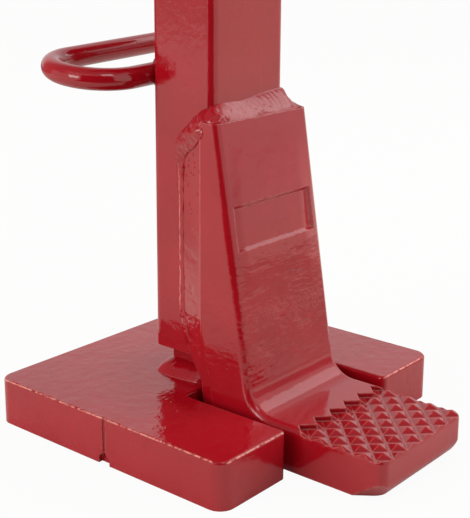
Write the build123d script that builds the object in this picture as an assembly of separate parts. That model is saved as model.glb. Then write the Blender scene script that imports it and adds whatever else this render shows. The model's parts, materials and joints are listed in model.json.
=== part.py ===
from build123d import *
import math
import os

# Rack and pinion jack with a fixed rack. All sizes are in millimetres and degrees.
# The origin is on the ground under the column's axis. X runs across the jack, the lifting toe points to -Y
# and Z is up. The rack stands on the base plate, and the housing column climbs it.

# How near an edge is to the place it is looked for at
match_tolerance = 0.01

# Base plate
base_width = 220.0
base_front = 98.0
base_back = 94.0
base_thickness = 30.0
base_corner_radius = 10.0
base_edge_radius = 2.0
slot_side_gap = 7.0
slot_corner_radius = 4.0
seam_offset = 4.4
seam_radius = 1.3
notch_radius = 4.5
notch_height = 7.0
notch_depth = 3.0

# Rack
lift = 350.0
rack_width = 50.0
rack_depth = 34.0
rack_module = 5.0
rack_ledge = 1.5
rack_end_margin = 25.0
tenon_width = 36.0
tenon_depth = 20.0
tenon_length = 20.0
rack_weld_leg = 8.0
stop_pin_radius = 5.0
stop_pin_reach = 3.5
stop_pin_setback = 7.0

# Column and its guides
guide_clearance = 0.3
guide_side = 4.7
guide_face = 2.7
column_wall = 5.0
bore_corner_radius = 1.0
column_bottom = 49.0
lower_guide_height = 40.0
upper_guide_height = 34.0
guide_setback = 4.0
shoe_length = 50.0

# Lifting toe
cheek_thickness = 10.0
toe_top = 202.5
toe_top_depth = 11.5
toe_lean = 0.1634
toe_heel_radius = 18.0
toe_edge_radius = 5.0
toe_rear_gap = 2.5
toe_ground_gap = 0.4
pad_height = 28.5
pad_reach = 160.0
pad_nose_radius = 11.0
pad_corner_radius = 6.5
# The facet at each lower corner of the pad's nose, by its reach along the three edges that meet there
facet_front = 15.0
facet_side = 20.0
facet_rise = 14.0
cheek_back = 25.0
cheek_shoulder = 21.5
cheek_heel_rise = 9.0
cheek_foot = 36.0
bevel_setback = 1.0
bevel_height = 80.0
bevel_flare = 0.2
panel_width = 72.0
panel_height = 24.0
panel_middle = 139.0
panel_depth = 1.8
panel_draft = 50.0

# Serrations of the pad and of the head
serration_length = 63.5
serration_pitch = 10.8
serration_depth = 3.4
serration_tip_drop = 0.9
serration_valley = 0.3
# How far the pyramids are out of step with the zigzag edge of the toe's field, as a share of the pitch
serration_stagger = 0.45

# Weld beads of the toe
toe_weld_height = 11.0
toe_weld_inset = 7.0
toe_weld_hollow = 1.0
side_bead_radius = 4.0
side_bead_stand = 1.0
side_bead_bend_back = 16.0
side_bead_bend_drop = 5.0

# Head
head_overhang = 11.0
head_thickness = 22.0
head_corner_radius = 8.0
head_edge = 2.5
head_rim = 6.0
head_spigot = 10.0
head_gap = 8.0
head_weld_leg = 6.0

# Carrying handle
handle_bar_radius = 7.0
handle_height = 226.0
handle_half_length = 73.0
handle_bend_radius = 30.0
handle_tilt = 6.8
handle_roll = 2.6
handle_weld_length = 56.0
handle_weld_leg = 5.0
handle_weld_lip = 1.0

# Gears
pressure_angle = 20.0
tooth_thinning = 0.15
root_factor = 1.25
flank_steps = 4
flank_crowding = 1.5
pinion_height = 365.0
pinion_teeth = 8
pinion_shift = 0.55
pinion_addendum = 0.75
pinion_face = 46.0
output_module = 2.5
output_teeth = 36
counter_teeth = 12
output_face = 18.0
counter_angle = 62.0
input_module = 2.0
input_teeth = 48
crank_teeth = 12
input_face = 14.0
small_pinion_shift = 0.3
crank_column_gap = 10.4

# Shafts, bushes, keys and rings
pinion_shaft_radius = 12.0
counter_shaft_radius = 9.0
crank_shaft_radius = 9.0
bush_wall = 3.0
bush_flange = 2.0
bush_flange_rim = 3.5
cover_bush_length = 10.0
running_clearance = 0.05
key_width = 6.0
key_height = 6.0
key_end_gap = 1.0
ring_thickness = 1.8
ring_groove = 1.0
ring_width = 4.0
ring_opening = 6.0
shaft_end = 1.5
side_clearance = 1.0
spacer_length = 4.0
spacer_wall = 3.0

# Gear case
gear_plate = 8.0
plate_corner_radius = 11.0
plate_front_inset = 6.0
plate_margin = 4.0
plate_weld_leg = 6.0
case_clearance = 3.0
case_wall = 4.0
case_face = 6.0
case_edge_radius = 5.0
case_boss_wall = 6.0
boss_edge_radius = 2.0
chamber_sheet = 4.0
chamber_clearance = 4.0
chamber_bend_radius = 6.0
chamber_top_room = 24.0
screw_radius = 3.0
screw_flats = 10.0
screw_head = 4.0
screw_head_room = 1.0
screw_end_gap = 1.0
ear_height = 8.0
# Angles of the cover screws round the pinion, the countershaft and the crank shaft
ear_angles = ((235, 300), (350, 40), (100, 170))
nipple_flats = 9.0
nipple_hex_height = 5.0
nipple_stem_radius = 3.2
nipple_stem_length = 4.0
nipple_thread_radius = 3.0

# Load brake on the crank shaft
brake_gap = 1.5
brake_disc_radius = 34.0
brake_disc_thickness = 8.0
brake_sleeve_wall = 5.0
friction_thickness = 2.5
friction_radius = 33.0
ratchet_thickness = 8.0
ratchet_radius = 44.0
ratchet_tooth_height = 6.0
ratchet_teeth = 16
ratchet_crest_share = 0.125
ratchet_stop_share = 0.25
ratchet_clearance = 0.15
pawl_boss_gap = 5.0
pawl_angle = 50.0
pawl_boss_radius = 11.0
pawl_pin_radius = 5.0
pawl_clearance = 0.3
pawl_nose_height = 10.0
pawl_belly_angle = 250.0
pawl_back_angle = 100.0
stud_shoulder_radius = 8.0
stud_head = 3.0
stud_thread_radius = 4.0

# Crank
crank_length = 250.0
crank_tilt = 25.0
arm_handle_gap = 5.0
arm_thickness = 10.0
arm_weld_land = 2.0
arm_hub_radius = 27.0
arm_tip_radius = 18.0
hub_boss_radius = 19.0
washer_thickness = 3.0
washer_radius = 16.0
thread_radius = 8.0
thread_end = 4.0
nut_flats = 24.0
nut_height = 14.0
nut_slot_width = 4.0
nut_slot_depth = 5.0
cotter_radius = 1.5
cotter_overhang = 2.0

# Folding grip
bracket_base = 4.0
bracket_ear = 6.0
bracket_radius = 12.0
bracket_half_height = 16.0
grip_pin_radius = 4.0
grip_pin_head = 2.5
grip_pin_head_radius = 6.5
eye_radius = 10.0
eye_width = 12.0
eye_side_gap = 0.3
grip_length = 110.0
grip_radius = 15.0
grip_waist_radius = 13.0
grip_end_radius = 3.0
grip_arm_gap = 2.5
grip_bracket_gap = 1.0
grip_end_gap = 0.4
grip_bore_clearance = 0.1
spindle_radius = 6.0
spindle_neck_radius = 5.0
spindle_collar = 3.0
spindle_collar_radius = 11.0
grip_washer_thickness = 2.0
rivet_radius = 8.0
rivet_height = 4.0
rivet_edge = 2.0


def from_axis(axis, distance, angle):
    """A point (y, z) at a distance and an angle from another, with the angle from +Y towards +Z."""
    turn = math.radians(angle)
    return (axis[0] + distance * math.cos(turn), axis[1] + distance * math.sin(turn))


# Places worked out from the sizes above
bore_width = rack_width + 2 * (guide_clearance + guide_side)
bore_depth = rack_depth + 2 * (guide_clearance + guide_face)
column_width = bore_width + 2 * column_wall
column_depth = bore_depth + 2 * column_wall
column_corner_radius = bore_corner_radius + column_wall
column_front = -column_depth / 2
column_back = column_depth / 2
column_side = column_width / 2
rack_front = -rack_depth / 2
rack_back = rack_depth / 2
rack_top = pinion_height + lift + rack_end_margin
column_top = rack_top + head_gap + head_spigot
toe_half = column_side + cheek_thickness
slot_half = toe_half + slot_side_gap
slot_rear = rack_front - rack_ledge
toe_rear = slot_rear - toe_rear_gap
cheek_rear = column_front + cheek_back

# Axes of the gears, as (y, z)
pinion_radius = rack_module * pinion_teeth / 2
pinion_tip = pinion_radius + rack_module * (pinion_shift + pinion_addendum)
pinion_y = rack_back - rack_module + pinion_radius + rack_module * pinion_shift
pinion_axis = (pinion_y, pinion_height)
output_centres = output_module * (output_teeth + counter_teeth) / 2
input_centres = input_module * (input_teeth + crank_teeth) / 2
counter_axis = from_axis(pinion_axis, output_centres, counter_angle)
crank_y = column_back + crank_column_gap + crank_shaft_radius
crank_angle = math.degrees(math.acos((crank_y - counter_axis[0]) / input_centres))
crank_axis = from_axis(counter_axis, input_centres, crank_angle)
output_tip = output_module * (output_teeth / 2 + 1 - small_pinion_shift)
input_tip = input_module * (input_teeth / 2 + 1 - small_pinion_shift)
crank_tip = input_module * (crank_teeth / 2 + 1 + small_pinion_shift)
window_half = pinion_tip + case_clearance
upper_guide_top = pinion_height - window_half - guide_setback
lower_guide_bottom = column_bottom + guide_setback

# Places along X, out from the column's right side
plate_out = column_side + gear_plate
flange_out = plate_out + bush_flange
output_start = flange_out + side_clearance
output_end = output_start + output_face
pinion_end = output_end + ring_thickness + shaft_end
input_start = pinion_end + 2 * side_clearance
input_end = input_start + input_face
case_inside = input_end + spacer_length + side_clearance
case_outside = case_inside + case_face
cover_bush_end = case_inside + cover_bush_length
boss_outside = cover_bush_end + case_wall

# Places along X, out from the column's left side
left_ring_start = -flange_out - ring_thickness
flange_start = -flange_out - brake_gap
inner_disc_start = flange_start - brake_disc_thickness
ratchet_start = inner_disc_start - friction_thickness - ratchet_clearance
ratchet_end = ratchet_start - ratchet_thickness
outer_disc_start = ratchet_end - ratchet_clearance
hub_start = outer_disc_start - friction_thickness
hub_boss_start = hub_start - brake_disc_thickness
arm_inside = -(handle_half_length + handle_bar_radius + arm_handle_gap)
arm_outside = arm_inside - arm_thickness
hub_end = arm_outside - arm_weld_land
nut_start = hub_end - washer_thickness
nut_end = nut_start - nut_height
sleeve_radius = crank_shaft_radius + brake_sleeve_wall

# Chamber behind the column, between the gear plates
chamber_back = pinion_y + pinion_tip + chamber_clearance + chamber_sheet
chamber_bottom = pinion_height - window_half - chamber_clearance - chamber_sheet
chamber_top = crank_axis[1] + chamber_top_room
plate_front = column_front + plate_front_inset

# Gear case screws, pawl pivot and ratchet
ear_offset = screw_flats / math.sqrt(3) + screw_head_room
ear_radius = ear_offset + screw_head_room
pawl_axis = from_axis(crank_axis, ratchet_radius + pawl_boss_gap + pawl_boss_radius, pawl_angle)
ratchet_step = 360 / ratchet_teeth
ratchet_root = ratchet_radius - ratchet_tooth_height
stop_face_angle = 90 + ratchet_step * ratchet_stop_share

# The grip's hinge before the crank is tilted, with the folded grip hanging down from it
grip_pin = Vector(arm_outside - grip_arm_gap - grip_radius, crank_y, crank_axis[1] + crank_length)
ear_inside = eye_width / 2 + eye_side_gap
ear_outside = ear_inside + bracket_ear
collar_start = bracket_half_height + grip_bracket_gap
collar_end = collar_start + spindle_collar
sleeve_start = collar_end + grip_end_gap
grip_washer_start = sleeve_start + grip_length + grip_end_gap
rivet_start = grip_washer_start + grip_washer_thickness


def across(face, start, end, at=(0, 0)):
    """Extrudes a sketch of (y, z) along X from start to end."""
    low = min(start, end)
    plane = Plane(origin=(low, at[0], at[1]), x_dir=(0, 1, 0), z_dir=(1, 0, 0))
    return extrude(plane * face, abs(end - start), dir=(1, 0, 0))


def upright(face, low, high):
    """Extrudes a sketch of (x, y) up from low to high."""
    return extrude(Plane.XY.offset(low) * face, high - low, dir=(0, 0, 1))


def bar(radius, start, end, at):
    """A round bar along X."""
    return across(Circle(radius), start, end, at)


def tube(outer, inner, start, end, at):
    """A round tube along X."""
    return across(Circle(outer) - Circle(inner), start, end, at)


def block(x, y, z):
    """A box between two limits on each axis."""
    middle = [(low + high) / 2 for low, high in (x, y, z)]
    return Pos(*middle) * Box(*[high - low for low, high in (x, y, z)])


def polygon(*points):
    """A sketch with its corners at the points."""
    return Polygon(*points, align=None)


def hull(circles):
    """The outline round circles given as ((y, z), radius)."""
    discs = [Pos(*at) * Circle(radius) for at, radius in circles]
    return make_hull([edge for disc in discs for edge in disc.edges()])


def hexagon(flats):
    """A hexagon given by its width across flats."""
    return RegularPolygon(flats / 2, 6, major_radius=False)


def half_space(origin, normal):
    """A large block on the side of a plane that its normal points to."""
    reach = 2 * column_top
    return Plane(origin=origin, z_dir=normal) * Pos(0, 0, reach / 2) * Box(reach, reach, reach)


def mirrored(solid):
    """The same solid on the other side of the jack."""
    return mirror(solid, about=Plane.YZ)


def largest(solid):
    """The main piece of a cut solid."""
    return solid.solids().sort_by(SortBy.VOLUME)[-1]


def matches(value, target):
    """Whether an edge's place is the one that is looked for."""
    return abs(value - target) < match_tolerance


def serration_cut(outline, middle, top, reach):
    """What is milled away round diamond pyramids. The outline is the field's sketch seen from above."""
    floor = top - serration_depth
    half_count = math.ceil(reach / serration_pitch) + 1
    end = (half_count + 0.5) * serration_pitch
    foot = serration_pitch / 2 - serration_valley
    saw = [(-end, -serration_depth), (-end, 0)]
    for ridge in range(-half_count, half_count + 1):
        crest = ridge * serration_pitch
        saw += [(crest - foot, 0), (crest, serration_depth - serration_tip_drop), (crest + foot, 0)]
    saw += [(end, 0), (end, -serration_depth)]
    ridges = []
    for along in (Vector(1, 1, 0), Vector(1, -1, 0)):
        plane = Plane(origin=(*middle, floor), x_dir=along, z_dir=along.cross(Vector(0, 0, 1)))
        ridges.append(extrude(plane * polygon(*saw), end, both=True))
    return upright(outline, floor, top + serration_depth) - (ridges[0] & ridges[1])


def involute(angle):
    """The involute function of a pressure angle in radians."""
    return math.tan(angle) - angle


def polar(radius, angle):
    """A sketch point from a radius and an angle in radians."""
    return (radius * math.cos(angle), radius * math.sin(angle))


def gear_face(module, teeth, shift, addendum, phase):
    """An involute gear's outline with a tooth's middle at the angle phase."""
    pressure = math.radians(pressure_angle)
    pitch_radius = module * teeth / 2
    base = pitch_radius * math.cos(pressure)
    tip = pitch_radius + module * (shift + addendum)
    root = pitch_radius + module * (shift - root_factor)
    thickness = module * (math.pi / 2 + 2 * shift * math.tan(pressure)) - tooth_thinning
    flank_start = max(base, root)
    flank_shares = [(step / flank_steps) ** flank_crowding for step in range(flank_steps + 1)]
    flank_radii = [flank_start + (tip - flank_start) * share for share in flank_shares]

    def half_angle(radius):
        here = math.acos(min(base / radius, 1))
        return thickness / (2 * pitch_radius) + involute(pressure) - involute(here)

    foot = half_angle(flank_start)
    pitch_angle = 2 * math.pi / teeth
    edges = []
    for tooth in range(teeth):
        middle = math.radians(phase) + tooth * pitch_angle
        rise = [polar(radius, middle - half_angle(radius)) for radius in flank_radii]
        fall = [polar(radius, middle + half_angle(radius)) for radius in reversed(flank_radii)]
        gap_start = polar(root, middle + foot)
        gap_middle = polar(root, middle + pitch_angle / 2)
        gap_end = polar(root, middle + pitch_angle - foot)
        if root < base:
            edges.append(Line(polar(root, middle - foot), rise[0]))
            edges.append(Line(fall[-1], gap_start))
        edges.append(Spline(*rise))
        edges.append(ThreePointArc(rise[-1], polar(tip, middle), fall[0]))
        edges.append(Spline(*fall))
        edges.append(ThreePointArc(gap_start, gap_middle, gap_end))
    return make_face(edges)


def bush(shaft_radius, start, end, at, flange=0):
    """A bronze bush from start to end, with a flange of that length beyond its end."""
    bore = shaft_radius + running_clearance
    outer = shaft_radius + bush_wall
    solid = tube(outer, bore, start, end, at)
    if flange:
        solid += tube(outer + bush_flange_rim, bore, end, end + flange, at)
    return solid


def ring_groove_cut(start, at):
    """The groove of a snap ring on the pinion shaft."""
    return tube(pinion_shaft_radius + ring_width, pinion_shaft_radius - ring_groove, start,
                start + ring_thickness, at)


def snap_ring(start, at):
    """An open snap ring in its groove on the pinion shaft."""
    inner = pinion_shaft_radius - ring_groove
    ring = tube(inner + ring_width, inner, start, start + ring_thickness, at)
    opening = Pos(pinion_shaft_radius, 0) * Rectangle(2 * ring_width, ring_opening)
    return ring - across(opening, start, start + ring_thickness, at)


def key_block(shaft_radius, start, end, at):
    """A parallel key, half in the shaft and half in the wheel."""
    place = Pos(0, shaft_radius) * Rectangle(key_width, key_height)
    return across(place, start + key_end_gap, end - key_end_gap, at)


def column_section(width, depth, radius, low, high):
    """An upright solid of rounded rectangular section round the column's axis."""
    return upright(RectangleRounded(width, depth, radius), low, high)


def column_outside():
    return column_section(column_width, column_depth, column_corner_radius, column_bottom, column_top)


def tenon_block():
    """The rack's foot that sits in the base plate."""
    return block((-tenon_width / 2, tenon_width / 2), (-tenon_depth / 2, tenon_depth / 2),
                 (base_thickness - tenon_length, base_thickness))


def make_base_plate():
    outline = Rectangle(base_width, base_front + base_back)
    plan = Pos(0, (base_back - base_front) / 2) * fillet(outline.vertices(), base_corner_radius)
    plan -= polygon((-slot_half, -base_front), (slot_half, -base_front), (slot_half, slot_rear),
                    (-slot_half, slot_rear))
    slot_corners = [v for v in plan.vertices() if matches(abs(v.X), slot_half)]
    plate = upright(fillet(slot_corners, slot_corner_radius), 0, base_thickness)
    plate = fillet(plate.faces().sort_by(Axis.Z)[-1].outer_wire().edges(), base_edge_radius)
    plate -= tenon_block()
    arch = hull([((-seam_offset, notch_height - notch_radius), notch_radius),
                 ((-seam_offset, -notch_radius), notch_radius)])
    for edge in (-base_width / 2, base_width / 2):
        plate -= Pos(edge, -seam_offset, base_thickness / 2) * Cylinder(seam_radius, base_thickness)
        plate -= across(arch, edge - notch_depth, edge + notch_depth)
    return plate


def make_stop_pin():
    height = upper_guide_top + lift + stop_pin_radius + guide_clearance
    reach = rack_width / 2 + stop_pin_reach
    return bar(stop_pin_radius, -reach, reach, (-stop_pin_setback, height))


def make_rack():
    pitch = math.pi * rack_module
    flank = rack_module * math.tan(math.radians(pressure_angle))
    mouth = pitch / 4 + flank + tooth_thinning / 2
    floor = pitch / 4 - flank + tooth_thinning / 2
    root = rack_back - 2 * rack_module
    lowest = -math.ceil(window_half / pitch)
    highest = math.floor((rack_top - pinion_height) / pitch - 0.5)
    outline = [(rack_back, base_thickness), (rack_front, base_thickness), (rack_front, rack_top),
               (rack_back, rack_top)]
    for gap in range(highest, lowest - 1, -1):
        middle = pinion_height + gap * pitch
        outline += [(rack_back, middle + mouth), (root, middle + floor), (root, middle - floor),
                    (rack_back, middle - mouth)]
    rack = across(polygon(*outline), -rack_width / 2, rack_width / 2)
    return rack + tenon_block() - make_stop_pin()


def make_rack_weld():
    width = rack_width + 2 * rack_weld_leg
    depth = rack_depth + 2 * rack_weld_leg
    high = base_thickness + rack_weld_leg
    foot = extrude(Plane.XY.offset(base_thickness) * Rectangle(width, depth), rack_weld_leg, taper=45)
    ahead = block((-width, width), (-depth, rack_front), (base_thickness, high))
    return foot - ahead - upright(Rectangle(rack_width, rack_depth), base_thickness, high)


def make_column():
    shell = column_outside()
    shell -= column_section(bore_width, bore_depth, bore_corner_radius, column_bottom, column_top)
    window_front = pinion_y - pinion_shaft_radius - bush_wall - case_clearance
    return shell - block((-column_width, column_width), (window_front, column_depth),
                         (pinion_height - window_half, pinion_height + window_half))


def make_guide(low, high):
    guide = column_section(bore_width, bore_depth, bore_corner_radius, low, high)
    gap = 2 * guide_clearance
    return guide - upright(Rectangle(rack_width + gap, rack_depth + gap), low, high)


def make_backing_shoe():
    half = rack_width / 2 - guide_clearance
    rear = rack_front - guide_clearance
    return block((-half, half), (rear - guide_face, rear),
                 (pinion_height - shoe_length / 2, pinion_height + shoe_length / 2))


def toe_front(height):
    """Y of the toe's leaning front face at a height."""
    return column_front - toe_top_depth - toe_lean * (toe_top - height)


def on_toe_side(edge):
    return matches(abs(edge.center().X), toe_half)


def make_toe_blank():
    """The forging with its rounded edges, before its cheeks and its serrations."""
    heel = (toe_front(pad_height), pad_height)
    nose = (-pad_reach, toe_ground_gap)
    profile = polygon((toe_front(toe_top), toe_top), heel, (-pad_reach, pad_height), nose,
                      (toe_rear, toe_ground_gap), (toe_rear, column_bottom), (column_front, column_bottom),
                      (column_front, toe_top))
    profile = fillet(profile.vertices().sort_by_distance(heel)[0], toe_heel_radius)
    profile = fillet(profile.vertices().sort_by_distance(nose)[0], pad_nose_radius)
    plan = polygon((-toe_half, 0), (toe_half, 0), (toe_half, -pad_reach), (-toe_half, -pad_reach))
    plan = fillet(plan.vertices().group_by(Axis.Y)[0], pad_corner_radius)
    blank = across(profile, -toe_half, toe_half) & upright(plan, 0, toe_top)
    front = [e for e in blank.edges() if on_toe_side(e) and e.center().Z > pad_height - match_tolerance
             and e.center().Y < toe_front(toe_top)]
    blank = fillet(front, toe_edge_radius)
    facet = half_space((toe_half, -pad_reach, toe_ground_gap + facet_rise),
                       (1 / facet_front, -1 / facet_side, -1 / facet_rise))
    return blank - facet - mirrored(facet)


def add_cheeks(toe):
    """Adds the cheeks beside the column, bevelled towards their rear edges."""
    cheek = polygon((column_front, toe_top), (cheek_rear, toe_top - cheek_shoulder),
                    (cheek_rear, column_bottom + cheek_heel_rise), (toe_rear, cheek_foot),
                    (column_front, cheek_foot))
    for start, end in ((-toe_half, -column_side), (column_side, toe_half)):
        toe += across(cheek, start, end)
    corner = (toe_half, column_front + bevel_setback, bevel_height)
    run = cheek_back - bevel_setback
    for slope in (0, -bevel_flare * cheek_thickness):
        bevel = half_space(corner, (run, cheek_thickness, slope))
        toe = toe - bevel - mirrored(bevel)
    return toe


def make_toe():
    toe = add_cheeks(make_toe_blank())
    step = serration_pitch / math.sqrt(2)
    count = math.ceil(toe_half / step) + 1
    rear = serration_length - pad_reach
    zigzag = [(index * step, rear - step * ((index + 1) % 2)) for index in range(-count, count + 1)]
    ahead = -pad_reach - serration_pitch
    field = polygon(*zigzag, (count * step, ahead), (-count * step, ahead))
    first_tip = step * (1 + serration_stagger)
    toe -= serration_cut(field, (first_tip, rear - first_tip), pad_height, serration_length + toe_half)
    face = Plane(origin=(0, toe_front(panel_middle), panel_middle), x_dir=(1, 0, 0), z_dir=(0, -1, toe_lean))
    panel = face.offset(-panel_depth) * Rectangle(panel_width, panel_height)
    return toe - extrude(panel, 2 * panel_depth, taper=-panel_draft)


def make_toe_top_weld():
    foot = (toe_front(toe_top) + side_bead_stand, toe_top)
    corner = (column_front, toe_top)
    crown = (column_front, toe_top + toe_weld_height)
    throat = ((foot[0] + crown[0]) / 2 + toe_weld_hollow, (foot[1] + crown[1]) / 2 - toe_weld_hollow)
    face = make_face([Line(crown, corner), Line(corner, foot), ThreePointArc(foot, throat, crown)])
    return across(face, toe_weld_inset - toe_half, toe_half - toe_weld_inset)


def make_side_weld(toe):
    x = column_side + side_bead_stand
    rear = cheek_rear + side_bead_stand
    corners = [Vector(x, rear, column_bottom + cheek_heel_rise + side_bead_radius),
               Vector(x, rear, toe_top - cheek_shoulder),
               Vector(x, column_front + side_bead_bend_back, toe_top - side_bead_bend_drop),
               Vector(x, column_front, toe_top + side_bead_radius)]
    bead = Pos(corners[0]) * Sphere(side_bead_radius)
    for low, high in zip(corners, corners[1:]):
        run = high - low
        bead += extrude(Plane(origin=low, z_dir=run) * Circle(side_bead_radius), run.length)
        bead += Pos(high) * Sphere(side_bead_radius)
    return largest(bead - column_outside() - toe - make_toe_top_weld())


def make_handle():
    """A closed ring of round bar, with its near run along the column's back face."""
    path = SlotOverall(2 * handle_half_length, 2 * handle_bend_radius).wire()
    ring = Pos(0, handle_bend_radius, 0) * sweep((path ^ 0) * Circle(handle_bar_radius), path=path)
    place = Pos(0, column_back + handle_bar_radius, handle_height)
    return place * Rot(0, -handle_roll, 0) * Rot(handle_tilt, 0, 0) * ring


def make_handle_welds(handle):
    half = handle_weld_length / 2
    beads = []
    for way in (-1, 1):
        high = handle_height + way * (handle_bar_radius + handle_weld_leg)
        lip = (column_back + handle_bar_radius, handle_height + way * (handle_bar_radius + handle_weld_lip))
        profile = polygon((column_back, handle_height), (column_back, high), lip, (lip[0], handle_height))
        beads.append(largest(across(profile, -half, half) - handle))
    return beads


def make_head():
    width = column_width + 2 * head_overhang
    depth = column_depth + 2 * head_overhang
    top = column_top + head_thickness
    head = column_section(width, depth, head_corner_radius, column_top, top)
    head = chamfer(head.faces().sort_by(Axis.Z)[-1].edges(), head_edge)
    field = RectangleRounded(width - 2 * head_rim, depth - 2 * head_rim, head_corner_radius)
    head -= serration_cut(field, (0, 0), top, width)
    spigot_end = column_top - head_spigot
    return head + column_section(bore_width, bore_depth, bore_corner_radius, spigot_end, column_top)


def make_head_weld():
    wide = Rectangle(column_width + 2 * head_weld_leg, column_depth + 2 * head_weld_leg)
    ring = extrude(Plane.XY.offset(column_top) * wide, -head_weld_leg, taper=45)
    return ring - column_outside()


def plate_corners():
    """Circles at the corners of the chamber that both gear plates close."""
    inset = plate_corner_radius - plate_margin
    ys = (plate_front + plate_corner_radius, chamber_back - inset)
    zs = (chamber_bottom + inset, chamber_top - inset)
    return [((y, z), plate_corner_radius) for y in ys for z in zs]


def case_circles(extra):
    """The gear case's outline, extra outside the room that the gears need."""
    room = case_clearance + extra
    boss = crank_shaft_radius + bush_wall + case_boss_wall
    return [(pinion_axis, output_tip + room), (counter_axis, input_tip + room),
            (crank_axis, max(crank_tip, boss) + room)]


def ear_places():
    """Where screws hold the gear case's cover, just outside its wall."""
    circles = case_circles(case_wall + ear_offset)
    return [from_axis(*circle, angle) for circle, angles in zip(circles, ear_angles) for angle in angles]


def make_left_gear_plate():
    plate = across(hull(plate_corners() + [(pawl_axis, pawl_boss_radius)]), -plate_out, -column_side)
    plate -= bar(pinion_shaft_radius + bush_wall, -plate_out, -column_side, pinion_axis)
    plate -= bar(crank_shaft_radius + bush_wall, -plate_out, -column_side, crank_axis)
    return plate - bar(stud_thread_radius, -plate_out, -column_side, pawl_axis)


def make_right_gear_plate():
    ears = [(at, ear_radius) for at in ear_places()]
    plate = across(hull(plate_corners() + case_circles(case_wall) + ears), column_side, plate_out)
    plate -= bar(pinion_shaft_radius + bush_wall, column_side, plate_out, pinion_axis)
    plate -= bar(counter_shaft_radius + bush_wall, column_side, plate_out, counter_axis)
    plate -= bar(crank_shaft_radius + bush_wall, column_side, plate_out, crank_axis)
    for at in ear_places():
        plate -= bar(screw_radius, column_side + screw_end_gap, plate_out, at)
    return plate


def make_plate_welds():
    corner = polygon((column_side, plate_front), (column_side + plate_weld_leg, plate_front),
                     (column_side, plate_front - plate_weld_leg))
    bead = upright(corner, chamber_bottom + plate_corner_radius, chamber_top - plate_corner_radius)
    return [bead, mirrored(bead)]


def chamber_outline(inset):
    """The bent sheet's outline, open to the column."""
    rear = chamber_back - inset
    low = chamber_bottom + inset
    high = chamber_top - inset
    outline = polygon((column_back, low), (rear, low), (rear, high), (column_back, high))
    bends = outline.vertices().group_by(Axis.X)[-1]
    return fillet(bends, chamber_bend_radius + chamber_sheet - inset)


def nipple_planes():
    heights = (pinion_height, crank_axis[1])
    return [Plane(origin=(0, chamber_back, height), z_dir=(0, 1, 0)) for height in heights]


def make_chamber_cover():
    cover = across(chamber_outline(0) - chamber_outline(chamber_sheet), -column_side, column_side)
    for plane in nipple_planes():
        cover -= extrude(plane * Circle(nipple_thread_radius), -chamber_sheet)
    return cover


def make_nipples():
    nipples = []
    for plane in nipple_planes():
        nipple = extrude(plane * hexagon(nipple_flats), nipple_hex_height)
        nipple += extrude(plane * Circle(nipple_thread_radius), -chamber_sheet)
        stem = plane.offset(nipple_hex_height)
        nipple += extrude(stem * Circle(nipple_stem_radius), nipple_stem_length)
        nipples.append(nipple + stem * Pos(0, 0, nipple_stem_length) * Sphere(nipple_stem_radius))
    return nipples


def make_case_cover():
    cover = across(hull(case_circles(case_wall)), plate_out, case_outside)
    cover = fillet(cover.faces().sort_by(Axis.X)[-1].edges(), case_edge_radius)
    bearings = ((counter_axis, counter_shaft_radius + bush_wall),
                (crank_axis, crank_shaft_radius + bush_wall))
    for at, radius in bearings:
        boss = bar(radius + case_boss_wall, case_inside, boss_outside, at)
        cover += fillet(boss.faces().sort_by(Axis.X)[-1].edges(), boss_edge_radius)
    for at in ear_places():
        cover += bar(ear_radius, plate_out, plate_out + ear_height, at)
        cover -= bar(screw_radius, plate_out, plate_out + ear_height, at)
    cover -= across(hull(case_circles(0)), plate_out, case_inside)
    for at, radius in bearings:
        cover -= bar(radius, case_inside, cover_bush_end, at)
    return cover


def make_cover_screws():
    head = plate_out + ear_height
    screws = []
    for at in ear_places():
        screw = bar(screw_radius, column_side + screw_end_gap, head, at)
        screws.append(screw + across(hexagon(screw_flats), head, head + screw_head, at))
    return screws


def make_rack_pinion():
    face = gear_face(rack_module, pinion_teeth, pinion_shift, pinion_addendum, 180)
    shaft = across(face, -pinion_face / 2, pinion_face / 2, pinion_axis)
    shaft += bar(pinion_shaft_radius, left_ring_start - shaft_end, pinion_end, pinion_axis)
    shaft -= ring_groove_cut(output_end, pinion_axis)
    shaft -= ring_groove_cut(left_ring_start, pinion_axis)
    return shaft - key_block(pinion_shaft_radius, output_start, output_end, pinion_axis)


def make_output_gear():
    face = gear_face(output_module, output_teeth, -small_pinion_shift, 1, counter_angle)
    wheel = across(face - Circle(pinion_shaft_radius), output_start, output_end, pinion_axis)
    return wheel - key_block(pinion_shaft_radius, output_start, output_end, pinion_axis)


def make_countershaft():
    phase = counter_angle + 180 + 180 / counter_teeth
    face = gear_face(output_module, counter_teeth, small_pinion_shift, 1, phase)
    shaft = across(face, output_start, output_end + side_clearance, counter_axis)
    shaft += bar(counter_shaft_radius, column_side, cover_bush_end - side_clearance, counter_axis)
    return shaft - key_block(counter_shaft_radius, input_start, input_end, counter_axis)


def make_countershaft_gear():
    face = gear_face(input_module, input_teeth, -small_pinion_shift, 1, crank_angle)
    wheel = across(face - Circle(counter_shaft_radius), input_start, input_end, counter_axis)
    return wheel - key_block(counter_shaft_radius, input_start, input_end, counter_axis)


def make_crank_shaft():
    phase = crank_angle + 180 + 180 / crank_teeth
    face = gear_face(input_module, crank_teeth, small_pinion_shift, 1, phase)
    shaft = across(face, input_start - side_clearance, input_end + side_clearance, crank_axis)
    shaft += bar(crank_shaft_radius, hub_end, cover_bush_end - side_clearance, crank_axis)
    shaft += bar(thread_radius, nut_end - thread_end, hub_end, crank_axis)
    return shaft - make_cotter_pin()


def make_brake_flange():
    flange = tube(brake_disc_radius, crank_shaft_radius, inner_disc_start, flange_start, crank_axis)
    return flange + tube(sleeve_radius, crank_shaft_radius, hub_start, inner_disc_start, crank_axis)


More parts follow.
